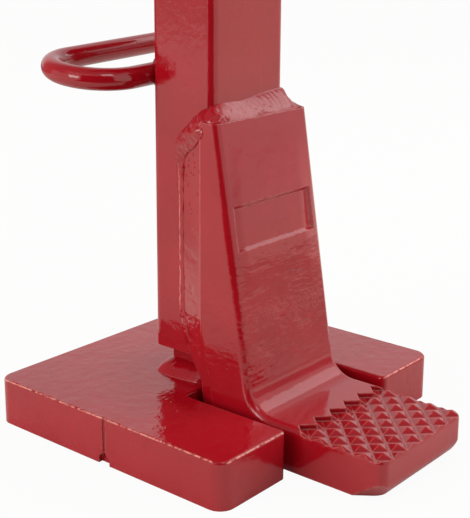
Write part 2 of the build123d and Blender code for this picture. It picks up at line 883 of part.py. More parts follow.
def make_friction_discs():
    starts = (inner_disc_start, outer_disc_start)
    return [tube(friction_radius, sleeve_radius, start - friction_thickness, start, crank_axis)
            for start in starts]


def make_ratchet():
    corners = []
    for tooth in range(ratchet_teeth):
        angle = math.radians(stop_face_angle + tooth * ratchet_step)
        crest = math.radians(ratchet_step * ratchet_crest_share)
        corners += [polar(ratchet_root, angle), polar(ratchet_radius, angle),
                    polar(ratchet_radius, angle + crest)]
    wheel = polygon(*corners) - Circle(sleeve_radius + running_clearance)
    return across(wheel, ratchet_end, ratchet_start, crank_axis)


def make_pawl():
    face_turn = stop_face_angle - math.degrees(pawl_clearance / ratchet_root)
    crest_turn = stop_face_angle - ratchet_step * (1 - ratchet_crest_share)
    over_teeth = ratchet_radius + 2 * pawl_clearance
    nose = polygon(from_axis(crank_axis, ratchet_root + 2 * pawl_clearance, face_turn),
                   from_axis(crank_axis, over_teeth, crest_turn),
                   from_axis(crank_axis, over_teeth, stop_face_angle - ratchet_step),
                   from_axis(pawl_axis, pawl_boss_radius, pawl_belly_angle), pawl_axis,
                   from_axis(pawl_axis, pawl_boss_radius, pawl_back_angle),
                   from_axis(crank_axis, ratchet_root + pawl_nose_height, face_turn))
    pawl = nose + Pos(*pawl_axis) * Circle(pawl_boss_radius)
    pawl -= Pos(*pawl_axis) * Circle(pawl_pin_radius + running_clearance)
    return across(pawl, ratchet_end + ratchet_clearance, ratchet_start - ratchet_clearance)


def make_pawl_stud():
    stud = bar(stud_thread_radius, -plate_out, -column_side, pawl_axis)
    stud += bar(stud_shoulder_radius, ratchet_start, -plate_out, pawl_axis)
    stud += bar(pawl_pin_radius, ratchet_end, ratchet_start, pawl_axis)
    return stud + bar(stud_shoulder_radius, ratchet_end - stud_head, ratchet_end, pawl_axis)


def make_crank_hub():
    hub = tube(brake_disc_radius, crank_shaft_radius, hub_boss_start, hub_start, crank_axis)
    return hub + tube(hub_boss_radius, crank_shaft_radius, hub_end, hub_boss_start, crank_axis)


def make_crank_arm():
    tip = (crank_axis[0], crank_axis[1] + crank_length)
    outline = hull([(crank_axis, arm_hub_radius), (tip, arm_tip_radius)])
    arm = across(outline, arm_outside, arm_inside)
    return arm - bar(hub_boss_radius, arm_outside, arm_inside, crank_axis)


def make_castle_nut():
    nut = across(hexagon(nut_flats) - Circle(thread_radius), nut_end, nut_start, crank_axis)
    slot = Rectangle(2 * nut_flats, nut_slot_width)
    for turn in (0, 60, 120):
        nut -= across(Rot(0, 0, turn) * slot, nut_end, nut_end + nut_slot_depth, crank_axis)
    return nut


def make_cotter_pin():
    place = Pos(nut_end + nut_slot_depth / 2, *crank_axis)
    return place * Rot(90, 0, 0) * Cylinder(cotter_radius, nut_flats + 2 * cotter_overhang)


def beside_arm(face, low, high):
    """Extrudes a sketch of (x, z) round the grip's pin along Y, with distances from the arm's middle."""
    plane = Plane(origin=(grip_pin.X, grip_pin.Y + low, grip_pin.Z), x_dir=(1, 0, 0), z_dir=(0, -1, 0))
    return extrude(plane * face, high - low, dir=(0, 1, 0))


def down_grip(face, start, end):
    """Extrudes a sketch of (x, y) down the folded grip, with distances from its pin."""
    return extrude(Plane(origin=grip_pin - Vector(0, 0, start)) * face, end - start, dir=(0, 0, -1))


def make_bracket():
    base_edge = arm_outside - bracket_base
    base = block((base_edge, arm_outside), (grip_pin.Y - ear_outside, grip_pin.Y + ear_outside),
                 (grip_pin.Z - bracket_half_height, grip_pin.Z + bracket_half_height))
    foot = base_edge - grip_pin.X
    root = polygon((foot, -bracket_half_height), (foot, bracket_half_height), (foot - eye_side_gap, 0))
    ear = make_hull(root.edges() + Circle(bracket_radius).edges()) - Circle(grip_pin_radius)
    return base + beside_arm(ear, ear_inside, ear_outside) + beside_arm(ear, -ear_outside, -ear_inside)


def make_grip_pin():
    pin = beside_arm(Circle(grip_pin_radius), -ear_outside, ear_outside)
    pin += beside_arm(Circle(grip_pin_head_radius), ear_outside, ear_outside + grip_pin_head)
    return pin + beside_arm(Circle(grip_pin_head_radius), -ear_outside - grip_pin_head, -ear_outside)


def make_spindle():
    spindle = beside_arm(Circle(eye_radius), -eye_width / 2, eye_width / 2)
    spindle += down_grip(Circle(spindle_neck_radius), 0, collar_end)
    spindle += down_grip(Circle(spindle_collar_radius), collar_start, collar_end)
    spindle += down_grip(Circle(spindle_radius), collar_end, rivet_start)
    rivet = down_grip(Circle(rivet_radius), rivet_start, rivet_start + rivet_height)
    spindle += fillet(rivet.faces().sort_by(Axis.Z)[0].edges(), rivet_edge)
    return spindle - beside_arm(Circle(grip_pin_radius + running_clearance), -eye_width, eye_width)


def make_grip_washer():
    return down_grip(Circle(spindle_collar_radius) - Circle(spindle_radius), grip_washer_start, rivet_start)


def make_grip_sleeve():
    bore = spindle_radius + grip_bore_clearance
    near = sleeve_start
    far = sleeve_start + grip_length
    middle = (near + far) / 2
    swell = ThreePointArc((grip_waist_radius, near), (grip_radius, middle), (grip_waist_radius, far))
    profile = make_face([swell, Line((grip_waist_radius, far), (bore, far)), Line((bore, far), (bore, near)),
                         Line((bore, near), (grip_waist_radius, near))])
    plane = Plane(origin=grip_pin, x_dir=(1, 0, 0), z_dir=(0, 1, 0))
    sleeve = revolve(plane * profile, Axis(grip_pin, (0, 0, 1)))
    circles = [e for e in sleeve.edges() if e.geom_type == GeomType.CIRCLE]
    rims = [e for e in circles if e.radius > bore + match_tolerance]
    return fillet(rims, grip_end_radius)


def tilted(solid):
    """Leans what the crank carries towards the jack's back."""
    return solid.rotate(Axis((0, *crank_axis), (1, 0, 0)), -crank_tilt)


toe = make_toe()
side_weld = make_side_weld(toe)
handle = make_handle()

nodes = {
    "base_plate": make_base_plate(),
    "rack": make_rack(),
    "rack_foot_weld": make_rack_weld(),
    "rack_stop_pin": make_stop_pin(),
    "column_tube": make_column(),
    "lower_guide": make_guide(lower_guide_bottom, lower_guide_bottom + lower_guide_height),
    "upper_guide": make_guide(upper_guide_top - upper_guide_height, upper_guide_top),
    "backing_shoe": make_backing_shoe(),
    "lifting_toe": toe,
    "toe_top_weld": make_toe_top_weld(),
    "toe_side_welds": [side_weld, mirrored(side_weld)],
    "carry_handle": handle,
    "handle_welds": make_handle_welds(handle),
    "head_plate": make_head(),
    "head_weld": make_head_weld(),
    "left_gear_plate": make_left_gear_plate(),
    "right_gear_plate": make_right_gear_plate(),
    "gear_plate_welds": make_plate_welds(),
    "chamber_cover": make_chamber_cover(),
    "grease_nipples": make_nipples(),
    "gear_case_cover": make_case_cover(),
    "cover_screws": make_cover_screws(),
    "pinion_bushes": [bush(pinion_shaft_radius, column_side, plate_out, pinion_axis, bush_flange),
                      bush(pinion_shaft_radius, -column_side, -plate_out, pinion_axis, -bush_flange)],
    "countershaft_bushes": [bush(counter_shaft_radius, column_side, plate_out, counter_axis, bush_flange),
                            bush(counter_shaft_radius, case_inside, cover_bush_end, counter_axis)],
    "crank_bushes": [bush(crank_shaft_radius, column_side, plate_out, crank_axis, bush_flange),
                     bush(crank_shaft_radius, case_inside, cover_bush_end, crank_axis),
                     bush(crank_shaft_radius, -column_side, -plate_out, crank_axis, -bush_flange)],
    "rack_pinion": make_rack_pinion(),
    "pinion_rings": [snap_ring(output_end, pinion_axis), snap_ring(left_ring_start, pinion_axis)],
    "output_gear": make_output_gear(),
    "output_key": key_block(pinion_shaft_radius, output_start, output_end, pinion_axis),
    "countershaft": make_countershaft(),
    "countershaft_gear": make_countershaft_gear(),
    "countershaft_key": key_block(counter_shaft_radius, input_start, input_end, counter_axis),
    "countershaft_spacer": tube(counter_shaft_radius + spacer_wall, counter_shaft_radius, input_end,
                                input_end + spacer_length, counter_axis),
    "crank_shaft": make_crank_shaft(),
    "brake_flange": make_brake_flange(),
    "friction_discs": make_friction_discs(),
    "ratchet_wheel": make_ratchet(),
    "pawl": make_pawl(),
    "pawl_stud": make_pawl_stud(),
    "crank_hub": make_crank_hub(),
    "crank_arm": tilted(make_crank_arm()),
    "hub_washer": tube(washer_radius, thread_radius, nut_start, hub_end, crank_axis),
    "castle_nut": make_castle_nut(),
    "cotter_pin": make_cotter_pin(),
    "grip_bracket": tilted(make_bracket()),
    "grip_hinge_pin": tilted(make_grip_pin()),
    "grip_spindle": tilted(make_spindle()),
    "grip_washer": tilted(make_grip_washer()),
    "grip_sleeve": tilted(make_grip_sleeve()),
}

os.makedirs("parts", exist_ok=True)
for name, solid in nodes.items():
    shape = Compound(children=solid) if isinstance(solid, list) else solid
    export_step(shape, f"parts/{name}.step")
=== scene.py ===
import json
import math

import bmesh
import bpy
from bpy.props import FloatProperty, FloatVectorProperty, PointerProperty
from mathutils import Matrix, Vector, noise


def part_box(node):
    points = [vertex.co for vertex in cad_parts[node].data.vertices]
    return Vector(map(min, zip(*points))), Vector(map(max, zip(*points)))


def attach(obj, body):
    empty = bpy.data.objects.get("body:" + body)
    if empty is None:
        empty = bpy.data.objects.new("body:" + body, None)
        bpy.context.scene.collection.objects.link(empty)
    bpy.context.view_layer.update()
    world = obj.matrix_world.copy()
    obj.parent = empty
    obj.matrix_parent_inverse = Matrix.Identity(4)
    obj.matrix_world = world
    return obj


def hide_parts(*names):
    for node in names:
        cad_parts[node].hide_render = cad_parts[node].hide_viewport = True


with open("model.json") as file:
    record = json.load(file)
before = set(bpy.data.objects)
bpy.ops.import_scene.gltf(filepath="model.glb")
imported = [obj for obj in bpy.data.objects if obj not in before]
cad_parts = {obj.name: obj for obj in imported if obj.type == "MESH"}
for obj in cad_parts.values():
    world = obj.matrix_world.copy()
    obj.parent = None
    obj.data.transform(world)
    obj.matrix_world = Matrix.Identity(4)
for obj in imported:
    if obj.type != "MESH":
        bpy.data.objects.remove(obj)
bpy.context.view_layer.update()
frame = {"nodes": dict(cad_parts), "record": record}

bl_info = {
    "name": "Rack Jack Looks",
    "version": (1, 0, 0),
    "blender": (4, 5, 0),
    "location": "View3D > Sidebar > Rack Jack",
    "description": "Enamel, bare metal, weld beads and a studio for a rack and pinion jack",
    "category": "Object",
}

MM = 0.001
WHITE = (1.0, 1.0, 1.0, 1.0)

# The camera that fits the photograph, in pixels, degrees and millimetres
PICTURE_HEIGHT = 518
PICTURE_SHIFT = -49
SENSOR_HEIGHT = 36.0
CAMERA_TURN = -50.1476
CAMERA_TILT = 14.3876
CAMERA_ROLL = 0.3271
CAMERA_PLACE = (-544.50, -468.70, 320.78)

# The serrations: how far back they run on the toe's pad, and how far under each top their feet lie
SERRATED_LENGTH = 63.5 * MM
PAD_SERRATION = 4.1 * MM
HEAD_SERRATION = 4.0 * MM

# Gloss of the enamel
ENAMEL_IOR = 1.6
ENAMEL_HAZE = 0.05

# A bead's section: steps across its face, and the leg from which its lumps have their full height
FACE_STEPS = 20
FULL_LUMP_LEG = 5 * MM

# A bead's ends and its wander: how long each runs in legs, and the share of its size that an end keeps
END_RUN = 0.8
WANDER_RUN = 2.2
BLUNT_END = 0.2

# The rows of noise that a bead's two edges and its ripples follow
EDGE_ROWS = (3.1, 7.7)
RIPPLE_ROW = 1.3


def colour(name, description, default):
    """A colour that a user can change."""
    return FloatVectorProperty(name=name, description=description, subtype="COLOR", size=3,
                               min=0.0, max=1.0, default=default)


def length(name, description, millimetres):
    """A length that a user can change."""
    return FloatProperty(name=name, description=description, subtype="DISTANCE", unit="LENGTH",
                         min=0.0, precision=5, default=millimetres * MM)


def share(name, description, default):
    """A share from 0 to 1 that a user can change."""
    return FloatProperty(name=name, description=description, subtype="FACTOR", min=0.0, max=1.0,
                         default=default)


class EnamelSettings(bpy.types.PropertyGroup):
    """The thick red enamel on the jack's steelwork."""
    body: colour("Body colour", "Colour of a full coat of enamel", (0.33, 0.003, 0.0085))
    thin: colour("Thin colour", "Colour where the coat is thin", (0.37, 0.005, 0.0115))
    patch_size: length("Patch size", "Width of the patches where the coat is thin", 50.0)
    gloss: share("Gloss roughness", "Roughness of the enamel's skin", 0.06)
    haze_size: length("Haze size", "Width of the duller patches", 30.0)
    peel_size: length("Orange peel size", "Width of the orange peel's dimples", 2.6)
    peel_depth: length("Orange peel depth", "Depth of the orange peel's dimples", 0.012)
    wave_size: length("Wave size", "Width of the steel's waves under the coat", 16.0)
    wave_depth: length("Wave depth", "Depth of the steel's waves under the coat", 0.09)
    pit_spacing: length("Pit spacing", "Distance between the coat's pits", 11.0)
    pit_depth: length("Pit depth", "Depth of the coat's pits", 0.12)
    # Painted highlight: the edge colour, its share and its breaks light up sharp edges in dashes, as light
    # caught on their rounding
    edge: colour("Edge colour", "Colour where the coat has drawn back from an edge", (0.62, 0.15, 0.13))
    edge_highlight_share: share("Edge wear", "How much of an edge shows through the coat", 0.8)
    highlight_break_size: length("Chip size", "Width of the breaks in an edge's wear", 4.0)
    edge_radius: length("Edge radius", "How far the coat rounds a sharp edge", 0.9)
    forged_radius: length("Forged edge radius", "How far the coat and the forging round an edge", 1.4)
    # Painted highlight along the base plate's upper edges
    plate_highlight: colour("Bright edge colour", "Colour along the base plate's edges", (0.75, 0.25, 0.2))
    # Painted shade: the pit colour and its share darken the serrations' pits
    pit: colour("Pit colour", "Colour of the thick coat in the serrations' pits", (0.19, 0.001, 0.004))
    pit_shade_share: share("Pit cover", "How much the thick coat in the pits shows", 0.45)


class ReliefSettings(bpy.types.PropertyGroup):
    """The relief of the steel under the enamel."""
    nick: length("Nick height", "Height of the nicks along the base plate's edges", 0.45)
    plate_grain: length("Plate grain", "Depth of the base plate's rolled skin", 0.4)
    tube_line: length("Drawing line depth", "Depth of the drawing lines up the tube", 0.006)
    tube_grain: length("Tube grain", "Depth of the tube's skin", 0.14)
    tube_pit: length("Tube pit depth", "Depth of the tube's pits", 0.25)
    flow: length("Flow mark height", "Height of the flow marks low on a forging", 0.45)
    dent: length("Dent depth", "Depth of the dents low on a forging", 0.5)
    rough: length("Rough band height", "Height of the rough band over the toe's heel", 0.5)
    hollow: length("Hollow depth", "Depth of the hollow under the toe's panel", 2.6)
    scale: length("Scale depth", "Depth of a forging's scale", 0.16)
    toe_spatter: length("Toe spatter", "Height of the spatter on the toe's cheeks", 0.4)
    bead_lump: length("Bead lump", "Height of the small lumps on a bead", 0.06)
    side_lump: length("Side bead lump", "Added height of the lumps on the toe's side beads", 0.1)
    bead_spatter: length("Bead spatter", "Height of the spatter on a bead", 0.2)
    bar_wave: length("Bar wave", "Depth of the waves along the handle's bar", 0.05)


class MetalSettings(bpy.types.PropertyGroup):
    """The bare metals and the plastic of the working parts."""
    steel: colour("Steel", "Colour of clean machined steel", (0.47, 0.46, 0.44))
    oiled: colour("Oiled steel", "Colour of steel under old oil", (0.16, 0.14, 0.115))
    zinc: colour("Zinc", "Colour of zinc plating", (0.62, 0.63, 0.62))
    zinc_tint: colour("Zinc tint", "Tint of the plating's passivated patches", (0.60, 0.57, 0.44))
    bronze: colour("Bronze", "Colour of clean bronze", (0.58, 0.37, 0.15))
    bronze_dull: colour("Dull bronze", "Colour of tarnished bronze", (0.30, 0.19, 0.085))
    lining: colour("Lining", "Colour of the brake lining", (0.055, 0.045, 0.038))
    fibre: colour("Lining fibre", "Colour of the lining's fibres", (0.19, 0.15, 0.11))
    plastic: colour("Grip plastic", "Colour of the grip", (0.013, 0.013, 0.014))
    scuffed: colour("Scuffed plastic", "Colour of the grip where hands rub it", (0.034, 0.033, 0.032))
    mark_width: length("Tool mark width", "Width of a machining mark", 0.45)
    painted_height: length("Painted height", "How far up from the ground the rack is painted", 57.0)


class BeadSettings(bpy.types.PropertyGroup):
    """The weld beads under the enamel."""
    step: length("Step", "Distance between a bead's sections", 0.7)
    ripple_pitch: length("Ripple pitch", "Distance between the ripples of a bead", 5.0)
    ripple_height: length("Ripple height", "Height of the ripples of a bead", 0.05)
    lump_size: length("Lump size", "Width of a bead's lumps", 5.0)
    lump_height: length("Lump height", "Height of a bead's lumps", 1.5)
    wander: share("Edge wander", "How much a bead's edges wander, as a share of its legs", 0.16)
    sink: length("Sink", "How far a bead's hidden edges lie in the steel", 0.5)


class StageSettings(bpy.types.PropertyGroup):
    """The studio round the jack."""
    floor: colour("Floor colour", "Colour of the floor", (0.68, 0.67, 0.64))
    floor_glow: colour("Floor glow", "Colour of the floor in reflections", (1.0, 0.98, 0.88))
    # Painted shade: the floor shade and the far floor are seen only in reflections
    floor_shade: colour("Floor shade", "Colour of the floor's shade in reflections", (0.5, 0.485, 0.45))
    floor_dark: colour("Far floor", "Colour of the far floor in reflections", (0.16, 0.155, 0.145))
    floor_white: share("Floor white", "How much of the floor's look is plain white to the camera", 0.94)
    front_glow: share("Front glow", "Strength of the soft light from the front", 0.95)
    back_glow: share("Back glow", "Strength of the soft light from behind", 0.8)
    dark_zones: share("Dark zones", "How much the studio's dark zones dim in reflections", 0.7)
    focal: FloatProperty(name="Focal length", description="The camera's focal length in picture pixels",
                         min=1.0, default=1145.66)


class Shade:
    """A shader socket that takes part in sums."""

    def __init__(self, finish, socket):
        self.finish = finish
        self.socket = socket

    def math(self, operation, first, second):
        return self.finish.node("ShaderNodeMath", {"operation": operation},
                                {"Value": first, "Value_001": second})

    def __add__(self, other):
        return self.math("ADD", self, other)

    def __radd__(self, other):
        return self.math("ADD", other, self)

    def __sub__(self, other):
        return self.math("SUBTRACT", self, other)

    def __rsub__(self, other):
        return self.math("SUBTRACT", other, self)

    def __mul__(self, other):
        return self.math("MULTIPLY", self, other)

    def __rmul__(self, other):
        return self.math("MULTIPLY", other, self)

    def __abs__(self):
        return self.math("ABSOLUTE", self, 0.0)


class Finish:
    """A node tree that is being written, for a material or for the world."""

    def __init__(self, tree):
        self.tree = tree
        tree.nodes.clear()

    def node(self, kind, settings=None, sockets=None, output=0):
        """Adds a node, with its settings first and then the values or links of its sockets."""
        made = self.tree.nodes.new(kind)
        for key, value in (settings or {}).items():
            setattr(made, key, value)
        for key, value in (sockets or {}).items():
            target = self.socket(made.inputs, key)
            if isinstance(value, Shade):
                self.tree.links.new(value.socket, target)
            else:
                target.default_value = value
        if not made.outputs:
            return None
        return Shade(self, self.socket(made.outputs, output))

    @staticmethod
    def socket(sockets, key):
        """A socket by its number, its identifier or its name."""
        if isinstance(key, int):
            return sockets[key]
        for socket in sockets:
            if key in (socket.identifier, socket.name):
                return socket
        raise KeyError(f"no socket named {key}")

    def place(self):
        """Where a point of the piece is, in metres, in the jack's own frame."""
        return self.node("ShaderNodeTexCoord", output="Object")

    def axis(self, place, name):
        """One coordinate of a place."""
        return self.node("ShaderNodeSeparateXYZ", None, {"Vector": place}, name)

    def axes(self, place):
        """The three coordinates of a place."""
        return [self.axis(place, name) for name in "XYZ"]

    def stretched(self, place, x, y, z):
        """The same place with each axis scaled."""
        return self.node("ShaderNodeVectorMath", {"operation": "MULTIPLY"}, {0: place, 1: (x, y, z)})

    def far_from_origin(self, place):
        """How far a place is from the frame's origin."""
        return self.node("ShaderNodeVectorMath", {"operation": "LENGTH"}, {0: place}, "Value")

    def noise(self, place, size, detail=2.0, roughness=0.5):
        """Soft blotches of a given width."""
        return self.node("ShaderNodeTexNoise", None, {"Vector": place, "Scale": 1.0 / size, "Detail": detail,
                                                      "Roughness": roughness}, "Fac")

    def cells(self, place, size):
        """The distance from the middle of scattered cells of a given width, as a share of it."""
        return self.node("ShaderNodeTexVoronoi", None, {"Vector": place, "Scale": 1.0 / size}, "Distance")

    def between(self, value, low, high):
        """0 below low and 1 above high, with a soft step between."""
        return self.node("ShaderNodeMapRange", {"interpolation_type": "SMOOTHSTEP"},
                         {"Value": value, "From Min": low, "From Max": high})

    def below(self, value, low, high):
        """1 below low and 0 above high, with a soft step between."""
        return 1.0 - self.between(value, low, high)

    def band(self, value, rise, fall):
        """1 between a soft rise and a soft fall, each given by its start and its end."""
        return self.between(value, *rise) * self.below(value, *fall)

    def near(self, value, at, inner, outer):
        """1 within the inner distance of a place and 0 beyond the outer one."""
        return self.below(abs(value - at), inner, outer)

    def mix(self, amount, first, second):
        """One colour turning into another."""
        return self.node("ShaderNodeMix", {"data_type": "RGBA"},
                         {"Factor_Float": amount, "A_Color": first, "B_Color": second}, "Result_Color")

    def lathe(self, place, at):
        """The place as seen by a lathe: distance from an axis along X, then the place along it."""
        arm = self.node("ShaderNodeVectorMath", {"operation": "SUBTRACT"}, {0: place, 1: (0, *at)})
        radius = self.far_from_origin(self.stretched(arm, 0, 1, 1))
        return self.node("ShaderNodeCombineXYZ", None, {"X": radius, "Y": self.axis(place, "X")})

    def rounded(self, radius):
        """The surface's normal with its sharp edges rounded."""
        return self.node("ShaderNodeBevel", {"samples": 4}, {"Radius": radius})

    def relief(self, height, rounding=0.0):
        """Turns a height in metres into a surface's normal, with sharp edges rounded."""
        sockets = {"Height": height, "Distance": 1.0, "Strength": 1.0}
        if rounding:
            sockets["Normal"] = self.rounded(rounding)
        return self.node("ShaderNodeBump", None, sockets)

    def ray(self, kind):
        """1 for a kind of light path, such as the camera's own, and 0 for the others."""
        return self.node("ShaderNodeLightPath", output=f"Is {kind} Ray")

    def surface(self, shader):
        """The shader that the material ends in."""
        self.node("ShaderNodeOutputMaterial", None, {"Surface": shader})

    def principled(self, **sockets):
        """A principled surface from socket names with underscores for spaces."""
        self.surface(self.node("ShaderNodeBsdfPrincipled", None,
                               {key.replace("_", " "): value for key, value in sockets.items()}))


def new_finish(name):
    """An empty material and the tree that it is written in."""
    material = bpy.data.materials.new(name)
    material.use_nodes = True
    return material, Finish(material.node_tree)


def opaque(tint):
    """A colour with its full alpha."""
    return (*tint, 1.0)


def corners(name):
    """The lowest and the highest corner of a CAD node."""
    low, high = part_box(name)
    return Vector(low), Vector(high)


def in_millimetres(name):
    """The lowest and the highest corner of a CAD node, in millimetres."""
    low, high = corners(name)
    return low / MM, high / MM


def named(rows, name):
    """The row of the record that has a name."""
    return next(row for row in rows if row["name"] == name)


def dress(material, *names):
    """Gives CAD nodes a material."""
    for name in names:
        mesh = frame["nodes"][name].data
        mesh.materials.clear()
        mesh.materials.append(material)


def coat_height(finish, place, settings):
    """The enamel's own relief: orange peel, shallow waves and a few pits."""
    peel = finish.noise(place, settings.peel_size, 1.0)
    wave = finish.noise(place, settings.wave_size, 1.0)
    pit = finish.below(finish.cells(place, settings.pit_spacing), 0.03, 0.09)
    return peel * settings.peel_depth + wave * settings.wave_depth - pit * settings.pit_depth


def coat_colour(finish, place, settings):
    """The enamel's colour, a little lighter where the coat is thin."""
    patch = finish.noise(place, settings.patch_size, 3.0)
    return finish.mix(finish.between(patch, 0.35, 0.7), opaque(settings.body), opaque(settings.thin))


def sharp_edges(finish, radius):
    """1 along sharp edges and 0 on flat faces."""
    flat = finish.node("ShaderNodeNewGeometry", output="Normal")
    turn = finish.node("ShaderNodeVectorMath", {"operation": "DOT_PRODUCT"},
                       {0: finish.rounded(radius), 1: flat}, "Value")
    return finish.below(turn, 0.9, 0.985)


def red_enamel(name, scene, relief=None, rounding=None, paint=None):
    """Glossy red enamel. The relief is the steel's under it, and the paint is a last change of tint. Sharp
    edges get a painted highlight.
    """
    settings = scene.jack_enamel
    material, finish = new_finish(name)
    place = finish.place()
    height = coat_height(finish, place, settings)
    if relief:
        height = height + relief(finish, place, scene.jack_relief)
    haze = finish.noise(place, settings.haze_size, 3.0)
    radius = rounding or settings.edge_radius
    edges = sharp_edges(finish, radius)
    highlight_dashes = finish.between(finish.noise(place, settings.highlight_break_size, 3.0), 0.36, 0.56)
    coat = coat_colour(finish, place, settings)
    # Painted highlight: a lighter colour in dashes along sharp edges
    tint = finish.mix(edges * highlight_dashes * settings.edge_highlight_share, coat, opaque(settings.edge))
    if paint:
        tint = paint(finish, place, settings, edges, tint)
    finish.principled(Base_Color=tint, Roughness=settings.gloss + haze * ENAMEL_HAZE, IOR=ENAMEL_IOR,
                      Normal=finish.relief(height, radius))
    return material


def forging_shade_and_highlights(finish, place, settings, edges, tint):
    """Painted shade in the serrations' pits, and painted highlights on their ridges and along the cheeks'
    bevelled edge.
    """
    across, along, high = finish.axes(place)
    beside = abs(across)
    toe_low, toe_high = corners("lifting_toe")
    pad_top = named(frame["record"]["mounts"], "toe_pad")["pos_m"][2]
    head_top = corners("head_plate")[1].z
    pad_front = toe_low.y
    pad_back = pad_front + SERRATED_LENGTH
    pad = finish.band(along, (pad_front + 0.4 * MM, pad_front + 1.0 * MM), (pad_back - 1.0 * MM, pad_back))
    pad = pad * finish.below(beside, toe_high.x - 0.8 * MM, toe_high.x - 0.2 * MM)
    serrated = 0.0
    pit_shade = 0.0
    for top, depth, face in ((pad_top, PAD_SERRATION, pad), (head_top, HEAD_SERRATION, 1.0)):
        foot = top - depth
        area = finish.between(high, foot, foot + 0.5 * MM) * face
        serrated = area + serrated
        pit_shade = area * finish.below(high, top - 3.3 * MM, top - 0.9 * MM) + pit_shade
    # Painted shade in the serrations' pits
    tint = finish.mix(pit_shade * settings.pit_shade_share, tint, opaque(settings.pit))
    # Painted highlight: a line along the cheeks' bevelled edge, which with the serrations' ridges takes the
    # edge colour
    bevel_edge = -24.2 * MM
    bevel_highlight = finish.near(along, bevel_edge, 0.2 * MM, 0.7 * MM)
    bevel_highlight = bevel_highlight * finish.between(beside, toe_high.x - 1.2 * MM, toe_high.x - 0.5 * MM)
    bevel_highlight = bevel_highlight * finish.between(high, 60 * MM, 75 * MM) * finish.noise(place, 6 * MM, 2.0) * 0.7
    return finish.mix(serrated * edges * settings.edge_highlight_share + bevel_highlight, tint, opaque(settings.edge))


def plate_edge_highlight(finish, place, settings, edges, tint):
    """A painted highlight in a dashed line along the plate's upper edges."""
    across, along, up = finish.axes(place)
    low, high = corners("base_plate")
    under_top = high.z - up
    line = 0.0
    for inside in (high.x - abs(across), along - low.y):
        on_edge = finish.below(abs(under_top - inside), 0.3 * MM, 1.0 * MM)
        line = on_edge * finish.below(under_top + inside, 1.6 * MM, 3.0 * MM) + line
    highlight_dashes = finish.between(finish.noise(place, 2.8 * MM, 3.0), 0.34, 0.6)
    # Painted highlight in dashes along the plate's upper edges
    return finish.mix(line * highlight_dashes, tint, opaque(settings.plate_highlight))


def bead_top_highlight(finish, place, settings, edges, tint):
    """A painted highlight in a line down the toe's side beads."""
    across, along, high = finish.axes(place)
    side = corners("column_tube")[1].x
    # Painted highlight along the side beads
    ridge_highlight = finish.between(abs(across), side + 0.6 * MM, side + 1.2 * MM)
    ridge_highlight = ridge_highlight * finish.near(along, 0.4 * MM, 0.25 * MM, 0.75 * MM)
    ridge_highlight = ridge_highlight * finish.band(high, (78 * MM, 84 * MM), (165 * MM, 175 * MM))
    highlight_dashes = finish.between(finish.noise(place, 7 * MM, 2.0), 0.3, 0.5)
    return finish.mix(ridge_highlight * highlight_dashes, tint, opaque(settings.edge))


def plate_relief(finish, place, settings):
    """Flame-cut nicks along the base plate's long upper edges, and the grain of its rolled skin."""
    high = corners("base_plate")[1]
    near_edge = 1.0
    for inside in (high.z - finish.axis(place, "Z"), high.x - abs(finish.axis(place, "X"))):
        near_edge = finish.below(inside, 0.8 * MM, 2.2 * MM) * near_edge
    nick = finish.noise(finish.stretched(place, 1.0, 0.4, 1.0), 2.0 * MM, 2.0)
    grain = finish.noise(place, 8.0 * MM, 3.0, 0.6)
    return near_edge * finish.between(nick, 0.42, 0.6) * settings.nick + grain * settings.plate_grain


def rolled_relief(finish, place, settings):
    """Drawing lines up a rolled tube and a few small pits."""
    line = finish.noise(finish.stretched(place, 1.0, 1.0, 0.03), 1.8 * MM, 1.0)
    pit = finish.below(finish.cells(finish.stretched(place, 1.0, 1.0, 0.5), 17 * MM), 0.02, 0.07)
    grain = finish.noise(place, 4.0 * MM, 2.0)
    return line * settings.tube_line + grain * settings.tube_grain - pit * settings.tube_pit


def forged_relief(finish, place, settings):
    """Marks low on a forging, a hollow under the toe's panel, and spatter beside the toe's welds."""
    across, along, high = finish.axes(place)
    beside = abs(across)
    side = corners("lifting_toe")[1].x
    marked = finish.band(high, (40 * MM, 60 * MM), (90 * MM, 150 * MM))
    marked = marked * (1.0 - finish.between(beside, side - 4 * MM, side - 0.5 * MM) * 0.7)
    flow = finish.noise(finish.stretched(place, 0.2, 0.45, 1.0), 4.0 * MM, 3.0, 0.6)
    dent = finish.noise(finish.stretched(place, 0.4, 0.6, 1.0), 10.0 * MM, 2.0)
    marks = marked * flow * settings.flow - marked * finish.between(dent, 0.5, 0.75) * settings.dent
    front = finish.below(beside, side - 17 * MM, side)
    hollow = front * finish.band(high, (84 * MM, 122 * MM), (125 * MM, 200 * MM))
    rough = front * finish.band(high, (70 * MM, 80 * MM), (84 * MM, 94 * MM))
    rough = rough * finish.noise(place, 2.4 * MM, 2.0)
    scale = finish.noise(place, 9.0 * MM, 3.0, 0.6)
    weld_side = finish.between(along, -26 * MM, -22 * MM) * finish.between(high, 110 * MM, 170 * MM)
    spatter = weld_side * finish.below(finish.cells(place, 4.5 * MM), 0.12, 0.3)
    marks = marks + rough * settings.rough + hollow * settings.hollow
    return marks + scale * settings.scale + spatter * settings.toe_spatter


def bead_relief(finish, place, settings):
    """Spatter and small lumps on a weld bead."""
    lump = finish.noise(place, 2.2 * MM, 2.0)
    spatter = finish.below(finish.cells(place, 6.5 * MM), 0.05, 0.16)
    side = corners("column_tube")[1].x
    at_side = finish.between(abs(finish.axis(place, "X")), side - 2 * MM, side + 3 * MM)
    return lump * (settings.bead_lump + at_side * settings.side_lump) + spatter * settings.bead_spatter


def bar_relief(finish, place, settings):
    """The long soft waves of a bent round bar."""
    return finish.noise(finish.stretched(place, 0.3, 1.0, 1.0), 9 * MM, 2.0) * settings.bar_wave


